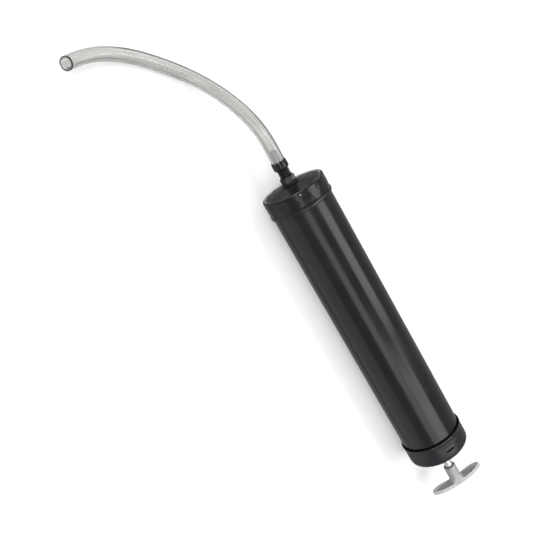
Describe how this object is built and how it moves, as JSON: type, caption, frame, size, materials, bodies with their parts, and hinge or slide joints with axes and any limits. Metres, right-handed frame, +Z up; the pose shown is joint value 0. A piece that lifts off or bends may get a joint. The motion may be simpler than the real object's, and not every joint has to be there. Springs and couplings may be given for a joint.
{
  "type": "hand oil transfer syringe",
  "caption": "Hand oil suction and transfer syringe: steel barrel with pressed caps, sliding plunger with T-handle, nozzle fitting and short clear hose, lying on its side.",
  "frame": {"origin": "under the middle of the syringe without its hose, on the surface that it lies on", "axes": "+X along the barrel towards the nozzle, +Z up, +Y to the side that the hose curves to"},
  "size_m": [0.4845, 0.1319, 0.0549],
  "materials": {
    "barrel_paint": "black satin paint on steel tube",
    "cap_paint": "black gloss paint on pressed steel",
    "black_plastic": "moulded black plastic",
    "rubber": "oil-resistant black rubber",
    "zinc": "bright zinc-plated steel",
    "zinc_casting": "as-cast light alloy, slightly grainy",
    "nylon": "natural nylon",
    "felt": "oiled wool felt",
    "clear_vinyl": "clear flexible vinyl, faintly green-grey"
  },
  "bodies": {
    "barrel": {"barrel_tube": "barrel_paint", "front_cap": "cap_paint", "rear_cap": "cap_paint", "front_gasket": "rubber", "fitting_body": "black_plastic", "fitting_washer": "rubber", "fitting_inner_washer": "zinc", "fitting_lock_nut": "zinc", "hose": "clear_vinyl", "rod_bush": "nylon", "bush_retaining_ring": "zinc", "rod_wiper": "felt"},
    "collar": {"hose_collar": "black_plastic"},
    "piston": {"piston_front_plate": "zinc", "piston_front_cup": "rubber", "piston_core": "nylon", "piston_rear_cup": "rubber", "piston_rear_plate": "zinc"},
    "rod": {"plunger_rod": "zinc", "t_handle": "zinc_casting", "piston_front_nut": "zinc", "piston_front_lock_washer": "zinc", "piston_rear_lock_washer": "zinc", "piston_rear_nut": "zinc"}
  },
  "joints": [
    {"name": "plunger_slide", "type": "slide", "parent": "barrel", "child": "piston", "axis": [-1, 0, 0], "range_m": [0, 0.237]},
    {"name": "handle_turn", "type": "hinge", "parent": "piston", "child": "rod", "pos_m": [0, 0, 0.02744], "axis": [1, 0, 0], "continuous": true},
    {"name": "collar_turn", "type": "hinge", "parent": "barrel", "child": "collar", "pos_m": [0.158, 0, 0.02744], "axis": [1, 0, 0], "range_deg": [0, 360]}
  ]
}
